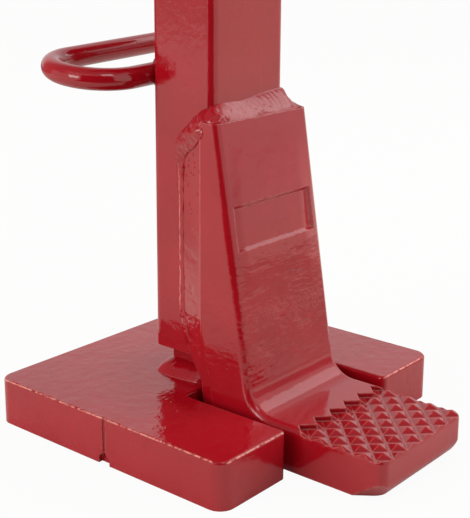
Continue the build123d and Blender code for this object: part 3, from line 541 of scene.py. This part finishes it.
def steel(name, settings, marks_at=None, paint=None):
    """Machined steel with tool marks under a film of oil. The paint covers what is near the ground."""
    material, finish = new_finish(name)
    place = finish.place()
    if marks_at:
        tooled = finish.stretched(finish.lathe(place, marks_at), 1.0, 1.0, 0.0)
    else:
        tooled = finish.stretched(place, 1.0, 1.0, 0.04)
    mark = finish.noise(tooled, settings.mark_width, 2.0)
    smear = finish.noise(finish.stretched(place, 1.0, 1.0, 0.3), 16 * MM, 4.0, 0.55)
    film = finish.between(smear, 0.36, 0.74)
    tint = finish.mix(0.15 + film * 0.55, opaque(settings.steel), opaque(settings.oiled))
    rough = 0.26 + mark * 0.16 - film * 0.08
    metal = 1.0
    height = mark * (0.012 * MM) + film * (0.01 * MM)
    if paint:
        coat_thickness = 0.15 * MM
        brush_edge = finish.noise(place, 5 * MM, 3.0) * (7 * MM) + finish.axis(place, "Z")
        bare = finish.between(brush_edge, settings.painted_height, settings.painted_height + 0.6 * MM)
        tint = finish.mix(bare, coat_colour(finish, place, paint), tint)
        rough = paint.gloss + bare * (rough - paint.gloss)
        metal = bare
        height = bare * height + (1.0 - bare) * (coat_height(finish, place, paint) + coat_thickness)
    finish.principled(Base_Color=tint, Metallic=metal, Roughness=rough,
                      Normal=finish.relief(height, 0.5 * MM))
    return material


def zinc_plate(settings):
    """Bright zinc plating with passivated patches and fine spangles."""
    material, finish = new_finish("zinc_plate")
    place = finish.place()
    patch = finish.between(finish.noise(place, 8 * MM, 3.0), 0.4, 0.65)
    grain = finish.noise(place, 0.7 * MM, 2.0)
    finish.principled(Base_Color=finish.mix(patch, opaque(settings.zinc), opaque(settings.zinc_tint)),
                      Metallic=1.0, Roughness=0.26 + grain * 0.2,
                      Normal=finish.relief(grain * (0.015 * MM), 0.4 * MM))
    return material


def bearing_bronze(settings):
    """Bronze with turning marks, dull where the oil has stood."""
    material, finish = new_finish("bearing_bronze")
    place = finish.place()
    mark = finish.noise(finish.stretched(place, 1.0, 0.15, 0.15), settings.mark_width, 2.0)
    dull = finish.between(finish.noise(place, 9 * MM, 4.0, 0.6), 0.4, 0.66)
    finish.principled(Base_Color=finish.mix(dull, opaque(settings.bronze), opaque(settings.bronze_dull)),
                      Metallic=1.0, Roughness=0.28 + mark * 0.14 + dull * 0.1,
                      Normal=finish.relief(mark * (0.01 * MM), 0.3 * MM))
    return material


def brake_lining(settings):
    """Moulded lining with fibres."""
    material, finish = new_finish("brake_lining")
    place = finish.place()
    fibre = finish.noise(finish.stretched(place, 1.0, 0.25, 1.0), 0.8 * MM, 3.0)
    fibre = finish.between(fibre, 0.52, 0.62)
    grain = finish.noise(place, 0.5 * MM, 2.0)
    finish.principled(Base_Color=finish.mix(fibre, opaque(settings.lining), opaque(settings.fibre)),
                      Roughness=0.72 + grain * 0.2, Normal=finish.relief(grain * (0.08 * MM)))
    return material


def grip_plastic(settings):
    """Moulded grip with a leather-like grain, rubbed smooth in the middle of its patches."""
    material, finish = new_finish("grip_plastic")
    place = finish.place()
    grain = finish.cells(place, 1.1 * MM)
    rubbed = finish.between(finish.noise(place, 22 * MM, 3.0), 0.42, 0.62)
    finish.principled(Base_Color=finish.mix(rubbed, opaque(settings.plastic), opaque(settings.scuffed)),
                      Roughness=0.5 - rubbed * 0.14 + grain * 0.06,
                      Normal=finish.relief(grain * (1.0 - rubbed * 0.6) * (0.07 * MM), 0.6 * MM))
    return material


def key_station(corner, edge_a, edge_b, crown, lumps=0.5):
    """A weld's section in millimetres: its corner, its run along each wall, its crown and its lumpiness."""
    return [Vector(corner) * MM, Vector(edge_a) * MM, Vector(edge_b) * MM, crown * MM, lumps]


def smooth_between(before, start, end, after, share_along):
    """A point on a smooth curve through four values, between the second and the third."""
    t = share_along
    return 0.5 * (2 * start + (end - before) * t + (2 * before - 5 * start + 4 * end - after) * t ** 2
                  + (3 * start - before - 3 * end + after) * t ** 3)


def stations(keys, step):
    """Sections at about even distances along a path through the key sections, with the distance of each."""
    padded = [keys[0], *keys, keys[-1]]
    rows = []
    travelled = 0.0
    for index in range(1, len(padded) - 2):
        four = padded[index - 1:index + 3]
        run = (four[2][0] - four[1][0]).length
        count = max(1, round(run / step))
        for part in range(count):
            section = [smooth_between(*values, part / count) for values in zip(*four)]
            rows.append((travelled + run * part / count, section))
        travelled += run
    rows.append((travelled, keys[-1]))
    return rows


def bead_ring(section, travelled, total, settings, seed):
    """One closed section of a bead: its crowned face and the edges that lie in the steel."""
    corner, edge_a, edge_b, crown, lumps = section
    leg = (edge_a.length + edge_b.length) / 2
    from_end = min(travelled, total - travelled) / (END_RUN * leg)
    taper = math.sqrt(max(BLUNT_END ** 2, 1 - (1 - min(from_end, 1)) ** 2))
    outward = (edge_a.normalized() + edge_b.normalized()).normalized()
    off_a = (edge_b - edge_b.project(edge_a)).normalized()
    off_b = (edge_a - edge_a.project(edge_b)).normalized()
    pace = travelled / (WANDER_RUN * leg)
    edge_a, edge_b = (edge * taper * (1 + settings.wander * noise.noise((pace, seed, row)))
                      for edge, row in zip((edge_a, edge_b), EDGE_ROWS))
    ring = [corner + edge_a - off_a * settings.sink]
    for index in range(FACE_STEPS + 1):
        t = index / FACE_STEPS
        arch = 4 * t * (1 - t)
        point = corner + edge_a * (1 - t) + edge_b * t
        phase = (travelled + 0.5 * leg * (2 * t - 1) ** 2) / settings.ripple_pitch
        phase += 0.6 * noise.noise((pace * 2, seed, RIPPLE_ROW))
        ripple = settings.ripple_height * math.cos(math.tau * phase)
        spot = point / settings.lump_size + Vector((seed, 0, 0))
        lump = lumps * settings.lump_height * (noise.noise(spot) + 0.6 * noise.noise(spot * 2.3))
        height = crown * arch + (ripple + lump) * math.sqrt(arch) * min(1, leg / FULL_LUMP_LEG)
        ring.append(point + outward * height * taper)
    ring.append(corner + edge_b - off_b * settings.sink)
    ring.append(corner - outward * settings.sink)
    return ring


def add_bead(build, keys, settings, seed):
    """Adds one weld bead to a mesh that is being built."""
    rows = stations(keys, settings.step)
    total = rows[-1][0]
    rings = [[build.verts.new(point) for point in bead_ring(section, travelled, total, settings, seed)]
             for travelled, section in rows]
    for near, far in zip(rings, rings[1:]):
        for index in range(len(near)):
            following = (index + 1) % len(near)
            build.faces.new((near[index], near[following], far[following], far[index]))
    build.faces.new(rings[0])
    build.faces.new(rings[-1])


def mirrored(keys):
    """The same bead on the other side of the jack."""
    flip = Matrix.Scale(-1, 3, (1, 0, 0))
    return [[flip @ corner, flip @ edge_a, flip @ edge_b, *rest] for corner, edge_a, edge_b, *rest in keys]


def bead_piece(node, body, beads, settings, material):
    """A piece of one or more beads that stands for a CAD weld."""
    seed_step = 11.3
    build = bmesh.new()
    for number, keys in enumerate(beads):
        add_bead(build, keys, settings, seed_step * number + len(node))
    bmesh.ops.recalc_face_normals(build, faces=build.faces)
    for face in build.faces:
        face.smooth = True
    mesh = bpy.data.meshes.new(node + "_bead")
    build.to_mesh(mesh)
    build.free()
    mesh.materials.append(material)
    piece = bpy.data.objects.new(node + "_bead", mesh)
    bpy.context.scene.collection.objects.link(piece)
    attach(piece, body)
    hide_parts(node)


def side_bead():
    """The bead up a cheek of the toe and over its shoulder, on the right side."""
    side = in_millimetres("column_tube")[1].x
    rear = Vector((0, 1, 0))
    cheek = Vector((0.385, -0.923, 0))
    cheek_foot = 80
    cheek_lean = 0.2
    keys = []
    for z, back, ahead, crown in (
            (56, 2.6, 3.4, 0.7), (70, 3.0, 3.6, 0.9), (82, 2.8, 3.6, 0.8), (105, 2.8, 3.6, 0.8),
            (130, 3.0, 3.4, 0.8), (155, 3.2, 3.8, 0.9), (168, 3.8, 4.2, 1.2)):
        cheek_edge = min(0, cheek_lean * (z - cheek_foot))
        keys.append(key_station((side, cheek_edge, z), rear * back, cheek * ahead, crown))
    for inset, y, z, up, out, crown, lumps in (
            (0, -0.5, 178.0, (0, 5.0, 2.5), (1.8, -4.0, -3.6), 2.4, 0.9),
            (0, -5.0, 185.3, (0, 5.0, 6.5), (3.6, -2.8, -6.4), 4.0, 1.3),
            (0, -12.0, 191.3, (0, 5.0, 8.0), (6.6, -2.8, -6.8), 4.6, 1.3),
            (0, -19.0, 197.3, (0, 4.5, 8.4), (9.2, -2.8, -6.6), 4.6, 1.3),
            (0, -25.0, 202.0, (0, 3.5, 8.0), (10.4, -3.4, -5.6), 4.0, 1.2),
            (1, -30.0, 203.5, (0, 1.5, 5.0), (10.8, -2.5, -4.0), 2.2, 0.8)):
        keys.append(key_station((side - inset, y, z), up, out, crown, lumps))
    return keys


def top_bead():
    """The hollow bead between the toe's top and the column's front, higher at its right end."""
    column_front = in_millimetres("column_tube")[0].y
    toe_top = in_millimetres("lifting_toe")[1].z
    return [key_station((x, column_front, toe_top), (0, 0, up), (0, -ahead, lip), crown, lumps)
            for x, up, ahead, lip, crown, lumps in (
                (-43, 3.5, 12.2, -4.0, 3.6, 1.0), (-38.5, 7.0, 12.6, -4.4, 3.8, 1.0),
                (-33, 8.5, 12.4, -3.2, 2.6, 0.6), (-24, 9.5, 12.1, -1.8, 1.0, 0.15),
                (-8, 10.0, 11.9, -0.8, -0.4, 0.08), (8, 10.8, 11.6, -0.2, -1.0, 0.08),
                (22, 11.6, 11.5, 0.2, -1.2, 0.08), (33, 12.2, 11.4, 0.5, -1.4, 0.1),
                (38, 7.0, 11.3, 0.7, -0.8, 0.15), (44, 1.6, 11.0, 1.0, 0.7, 0.2))]


def both_sides(half):
    """A path across the jack from one half of it, which ends in the middle plane."""
    return half + [(-x, y) for x, y in reversed(half[:-1])]


def loop_bead(half_corners, half_edges, height, up, crown, lumps=0.5):
    """A fillet bead round upright walls, from the corner points and the outward edges of one half."""
    return [key_station((*at, height), (0, 0, up), (*edge, 0), crown, lumps)
            for at, edge in zip(both_sides(half_corners), both_sides(half_edges))]


def rack_bead():
    """The fillet bead round the rack's sides and back, on the base plate."""
    low, high = in_millimetres("rack")
    plate_top = in_millimetres("base_plate")[1].z
    left, back = low.x, high.y
    half_corners = [(left, low.y + 1), (left, 0), (left, back - 5), (left + 1, back - 1), (left + 5, back),
                    (0, back)]
    half_edges = [(-9, 0), (-11, 0), (-11, 1.5), (-8.5, 8), (-1.5, 11), (0, 11)]
    return loop_bead(half_corners, half_edges, plate_top, 9.0, 1.4, 0.25)


def head_bead():
    """The fillet bead under the head, all round the column."""
    high = in_millimetres("column_tube")[1]
    side, back = high.x, high.y
    corner_radius = 6
    corner_cut = 0.3 * corner_radius
    leg = 6
    slant = 0.7 * leg
    quarter = [(side, back - corner_radius), (side - corner_cut, back - corner_cut),
               (side - corner_radius, back), (0, back)]
    quarter_edges = [(leg, 0.5), (slant, slant), (0.5, leg), (0, leg)]
    half_corners = [(x, -y) for x, y in reversed(quarter)] + [(side, 0)] + quarter
    half_edges = [(x, -y) for x, y in reversed(quarter_edges)] + [(leg, 0)] + quarter_edges
    return loop_bead(half_corners, half_edges, high.z, -leg, 0.7)


def plate_bead():
    """The fillet bead between the right gear plate's front edge and the column."""
    corner = in_millimetres("right_gear_plate")[0]
    heights = (338.5, 380, 430, 488)
    return [key_station((corner.x, corner.y, z), (6, 0, 0), (0, -5.8, 0), 0.6) for z in heights]


def handle_beads():
    """The beads above and under the handle's near bar, on the column's back."""
    low, high = in_millimetres("handle_welds")
    column_back = in_millimetres("column_tube")[1].y
    bar_height = (low.z + high.z) / 2
    bar_slope = 0.045
    apart = 4.2
    return [[key_station((x, column_back, bar_height + bar_slope * x + way * apart), (0, 0.2, way * 8.0),
                         (0, 7.0, way * 3.6), 0.6) for x in (-28, -10, 10, 28)]
            for way in (-1, 1)]


class JACK_OT_base_plate(bpy.types.Operator):
    """Enamels the slotted base plate"""
    bl_idname = "jack.base_plate"
    bl_label = "Base Plate"

    def execute(self, context):
        dress(red_enamel("plate_enamel", context.scene, plate_relief, paint=plate_edge_highlight), "base_plate")
        return {"FINISHED"}


class JACK_OT_column(bpy.types.Operator):
    """Enamels the column, the gear plates, the sheet between them and the crank's arm"""
    bl_idname = "jack.column"
    bl_label = "Column and Gear Plates"

    def execute(self, context):
        dress(red_enamel("tube_enamel", context.scene, rolled_relief), "column_tube", "left_gear_plate",
              "right_gear_plate", "chamber_cover", "crank_arm")
        return {"FINISHED"}


class JACK_OT_forgings(bpy.types.Operator):
    """Enamels the lifting toe, the head and the other forged or cast pieces"""
    bl_idname = "jack.forgings"
    bl_label = "Toe, Head and Castings"

    def execute(self, context):
        radius = context.scene.jack_enamel.forged_radius
        material = red_enamel("forging_enamel", context.scene, forged_relief, radius, forging_shade_and_highlights)
        dress(material, "lifting_toe", "head_plate", "gear_case_cover", "crank_hub", "grip_bracket")
        return {"FINISHED"}


class JACK_OT_carry_handle(bpy.types.Operator):
    """Enamels the carrying handle"""
    bl_idname = "jack.carry_handle"
    bl_label = "Carrying Handle"

    def execute(self, context):
        dress(red_enamel("bar_enamel", context.scene, bar_relief), "carry_handle")
        return {"FINISHED"}


class JACK_OT_weld_beads(bpy.types.Operator):
    """Lays the weld beads"""
    bl_idname = "jack.weld_beads"
    bl_label = "Weld Beads"

    def execute(self, context):
        settings = context.scene.jack_beads
        material = red_enamel("bead_enamel", context.scene, bead_relief, paint=bead_top_highlight)
        for node, body, beads in (
                ("toe_side_welds", "housing", [side_bead(), mirrored(side_bead())]),
                ("toe_top_weld", "housing", [top_bead()]),
                ("rack_foot_weld", "base_body", [rack_bead()]),
                ("head_weld", "housing", [head_bead()]),
                ("gear_plate_welds", "housing", [plate_bead(), mirrored(plate_bead())]),
                ("handle_welds", "housing", handle_beads())):
            bead_piece(node, body, beads, settings, material)
        return {"FINISHED"}


class JACK_OT_rack(bpy.types.Operator):
    """Finishes the rack, whose foot is painted with the base plate"""
    bl_idname = "jack.rack"
    bl_label = "Rack"

    def execute(self, context):
        scene = context.scene
        dress(steel("rack_steel", scene.jack_metals, paint=scene.jack_enamel), "rack", "rack_stop_pin")
        return {"FINISHED"}


class JACK_OT_gear_train(bpy.types.Operator):
    """Finishes the shafts and gears, each turned about its own axis"""
    bl_idname = "jack.gear_train"
    bl_label = "Gear Train"

    def execute(self, context):
        metals = context.scene.jack_metals
        for joint, names in (
                ("pinion_turn", ("rack_pinion", "pinion_rings", "output_gear", "output_key")),
                ("countershaft_turn", ("countershaft", "countershaft_gear", "countershaft_key",
                                       "countershaft_spacer")),
                ("crank_turn", ("crank_shaft", "brake_flange", "ratchet_wheel")),
                ("pawl_lift", ("pawl", "pawl_stud"))):
            axis_place = named(frame["record"]["behaviour"]["joints"], joint)["pos_m"][1:]
            dress(steel(joint + "_steel", metals, marks_at=axis_place), *names)
        return {"FINISHED"}


class JACK_OT_bearings(bpy.types.Operator):
    """Finishes the bronze guides and bushes and the brake's linings"""
    bl_idname = "jack.bearings"
    bl_label = "Bearings and Linings"

    def execute(self, context):
        metals = context.scene.jack_metals
        dress(bearing_bronze(metals), "lower_guide", "upper_guide", "backing_shoe", "pinion_bushes",
              "countershaft_bushes", "crank_bushes")
        dress(brake_lining(metals), "friction_discs")
        return {"FINISHED"}


class JACK_OT_fasteners(bpy.types.Operator):
    """Finishes the screws, the nut, the washers and the grease nipples"""
    bl_idname = "jack.fasteners"
    bl_label = "Fasteners"

    def execute(self, context):
        dress(zinc_plate(context.scene.jack_metals), "cover_screws", "grease_nipples", "hub_washer",
              "castle_nut", "cotter_pin", "grip_washer")
        return {"FINISHED"}


class JACK_OT_grip(bpy.types.Operator):
    """Finishes the folding grip"""
    bl_idname = "jack.grip"
    bl_label = "Folding Grip"

    def execute(self, context):
        metals = context.scene.jack_metals
        dress(steel("grip_steel", metals), "grip_spindle", "grip_hinge_pin")
        dress(grip_plastic(metals), "grip_sleeve")
        return {"FINISHED"}


class JACK_OT_stage(bpy.types.Operator):
    """Makes the floor, the light and the camera"""
    bl_idname = "jack.stage"
    bl_label = "Studio"

    def execute(self, context):
        settings = context.scene.jack_stage
        self.make_floor(context, settings)
        self.make_world(context, settings)
        self.make_lights(context)
        self.make_dark_card(context)
        self.make_camera(context, settings)
        context.scene.view_settings.view_transform = "Standard"
        return {"FINISHED"}

    def make_sheet(self, context, name, points, faces, material):
        """A piece of the studio made of flat faces."""
        mesh = bpy.data.meshes.new(name)
        mesh.from_pydata(points, [], faces)
        mesh.materials.append(material)
        sheet = bpy.data.objects.new(name, mesh)
        context.scene.collection.objects.link(sheet)
        return sheet

    def make_floor(self, context, settings):
        """A pale floor that glows in reflections, with painted shade in parts of its reflections, and keeps
        the jack's shadow.
        """
        material, finish = new_finish("pale_floor")
        seen = finish.ray("Camera")
        place = finish.place()
        across = finish.axis(place, "X")
        along = finish.axis(place, "Y")
        away = finish.far_from_origin(place)
        # Painted shade: zones behind, far behind and ahead of the jack look darker only in reflections
        behind = finish.between(along, 0.1, 0.5)
        hidden = behind * finish.between(across, -0.45, -0.15)
        far = finish.between(along, 0.7, 1.6) * finish.between(across + along * 0.45, -0.4, -0.1)
        ahead = finish.band(away, (0.2, 0.32), (0.62, 0.9)) * finish.below(along, -0.2, 0.0)
        tint = finish.mix(hidden + ahead, opaque(settings.floor_glow), opaque(settings.floor_shade))
        tint = finish.mix(far, tint, opaque(settings.floor_dark))
        tint = finish.mix(seen, tint, WHITE)
        glow = finish.node("ShaderNodeEmission", None, {"Color": tint, "Strength": 1.0})
        matt = finish.node("ShaderNodeBsdfDiffuse", None, {"Color": opaque(settings.floor)})
        dull = behind - hidden - far * (1.0 - hidden)
        glossy_share = finish.ray("Glossy") * finish.between(away, 0.12, 0.5) * (0.9 - dull * 0.8)
        lit = seen * settings.floor_white + glossy_share
        finish.surface(finish.node("ShaderNodeMixShader", None, {"Fac": lit, 1: matt, 2: glow}))
        half = 12.0
        points = [(-half, -half, 0), (half, -half, 0), (half, half, 0), (-half, half, 0)]
        floor = self.make_sheet(context, "floor", points, [(0, 1, 2, 3)], material)

    def make_world(self, context, settings):
        """Soft light from all round, with darker zones in reflections, and white to the camera."""
        world = bpy.data.worlds.new("studio")
        context.scene.world = world
        world.use_nodes = True
        finish = Finish(world.node_tree)
        seen = finish.ray("Camera")
        across, along, high = finish.axes(finish.node("ShaderNodeTexCoord", output="Generated"))
        overhead = finish.between(high, 0.6, 0.9) * finish.below(across, 0.3, 0.6)
        left_rear = finish.below(across, -0.1, 0.45) * finish.between(along, 0.2, 0.5)
        left_rear = left_rear * finish.between(high, 0.3, 0.5) * (1.0 - overhead)
        rear = finish.band(across, (-0.6, -0.4), (0.0, 0.25)) * finish.between(along, 0.5, 0.7)
        rear = rear * finish.band(high, (-0.04, 0.0), (0.3, 0.5))
        right_front = finish.between(across, 0.2, 0.45) * finish.below(along, -0.6, -0.35)
        right_front = right_front * finish.band(high, (0.04, 0.12), (0.3, 0.42))
        dark = (overhead + left_rear + rear + right_front) * settings.dark_zones
        behind = finish.between(along, -0.5, 0.4)
        soft = settings.front_glow + behind * (settings.back_glow - settings.front_glow)
        soft = soft * (1.0 - finish.ray("Glossy") * dark)
        sky = finish.node("ShaderNodeBackground", None,
                          {"Color": WHITE, "Strength": soft + seen * (1.0 - soft)})
        finish.node("ShaderNodeOutputWorld", None, {"Surface": sky})

    def make_lights(self, context):
        """Square lamps turned to the jack: place, width, strength, and whether reflections show them."""
        target = Vector((0, 0, 0.2))
        for name, at, size, energy, shows in (
                ("left_softbox", (-1.9, 0.7, 1.0), 2.2, 23.0, False),
                ("left_window", (-2.0, 0.2, 0.66), 0.7, 7.0, True),
                ("right_softbox", (1.4, -0.4, 1.3), 0.9, 3.0, True),
                ("front_softbox", (1.4, -1.3, 0.6), 1.0, 12.0, False),
                ("window", (-0.45, -0.9, 1.5), 0.5, 2.0, True)):
            lamp = bpy.data.lights.new(name, "AREA")
            lamp.shape = "SQUARE"
            lamp.size = size
            lamp.energy = energy
            made = bpy.data.objects.new(name, lamp)
            made.location = at
            made.rotation_euler = (target - Vector(at)).to_track_quat("-Z", "Y").to_euler()
            made.visible_glossy = shows
            context.scene.collection.objects.link(made)

    def make_dark_card(self, context):
        """A black card on the camera's side, which the camera looks through: painted shade that only
        reflections and soft light see.
        """
        card_turn = math.radians(-50)
        turn = Matrix.Rotation(card_turn, 4, "Z")
        near = -0.45
        far = -1.6
        over_floor = 0.002
        top = 1.6
        points = [(-0.55, near, over_floor), (0.55, near, over_floor), (1.0, far, over_floor),
                  (-1.0, far, over_floor), (1.0, far, top), (-1.0, far, top)]
        material, finish = new_finish("black_card")
        finish.surface(finish.node("ShaderNodeEmission", None, {"Color": (0.02, 0.02, 0.02, 1)}))
        card = self.make_sheet(context, "dark_card", [turn @ Vector(point) for point in points],
                               [(0, 1, 2, 3), (3, 2, 4, 5)], material)
        card.visible_camera = False
        card.visible_shadow = False

    def make_camera(self, context, settings):
        """The camera at the photograph's viewing angle."""
        turn, tilt, roll = (math.radians(angle) for angle in (CAMERA_TURN, CAMERA_TILT, CAMERA_ROLL))
        back = Vector((math.sin(turn) * math.cos(tilt), -math.cos(turn) * math.cos(tilt), math.sin(tilt)))
        level = (-back).cross(Vector((0, 0, 1))).normalized()
        upright = level.cross(-back)
        right = level * math.cos(roll) + upright * math.sin(roll)
        up = upright * math.cos(roll) - level * math.sin(roll)
        camera = bpy.data.cameras.new("camera")
        camera.sensor_fit = "VERTICAL"
        camera.sensor_height = SENSOR_HEIGHT
        camera.lens = settings.focal / PICTURE_HEIGHT * SENSOR_HEIGHT
        camera.shift_y = PICTURE_SHIFT / PICTURE_HEIGHT
        made = bpy.data.objects.new("camera", camera)
        made.matrix_world = Matrix((right, up, back)).transposed().to_4x4()
        made.location = Vector(CAMERA_PLACE) * MM
        context.scene.collection.objects.link(made)
        context.scene.camera = made


class JACK_PT_looks(bpy.types.Panel):
    """The steps that dress the jack"""
    bl_idname = "JACK_PT_looks"
    bl_label = "Rack Jack"
    bl_space_type = "VIEW_3D"
    bl_region_type = "UI"
    bl_category = "Rack Jack"

    def draw(self, context):
        for step in STEPS:
            self.layout.operator(step.bl_idname)


SETTINGS = {"jack_enamel": EnamelSettings, "jack_relief": ReliefSettings, "jack_metals": MetalSettings,
            "jack_beads": BeadSettings, "jack_stage": StageSettings}
STEPS = (JACK_OT_base_plate, JACK_OT_column, JACK_OT_forgings, JACK_OT_carry_handle, JACK_OT_weld_beads,
         JACK_OT_rack, JACK_OT_gear_train, JACK_OT_bearings, JACK_OT_fasteners, JACK_OT_grip, JACK_OT_stage)


def register():
    for part in (*SETTINGS.values(), *STEPS, JACK_PT_looks):
        bpy.utils.register_class(part)
    for name, group in SETTINGS.items():
        setattr(bpy.types.Scene, name, PointerProperty(type=group))


def unregister():
    for name in SETTINGS:
        delattr(bpy.types.Scene, name)
    for part in reversed((*SETTINGS.values(), *STEPS, JACK_PT_looks)):
        bpy.utils.unregister_class(part)


def main():
    register()
    for step in STEPS:
        group, name = step.bl_idname.split(".")
        getattr(getattr(bpy.ops, group), name)()


if __name__ == "__main__":
    main()
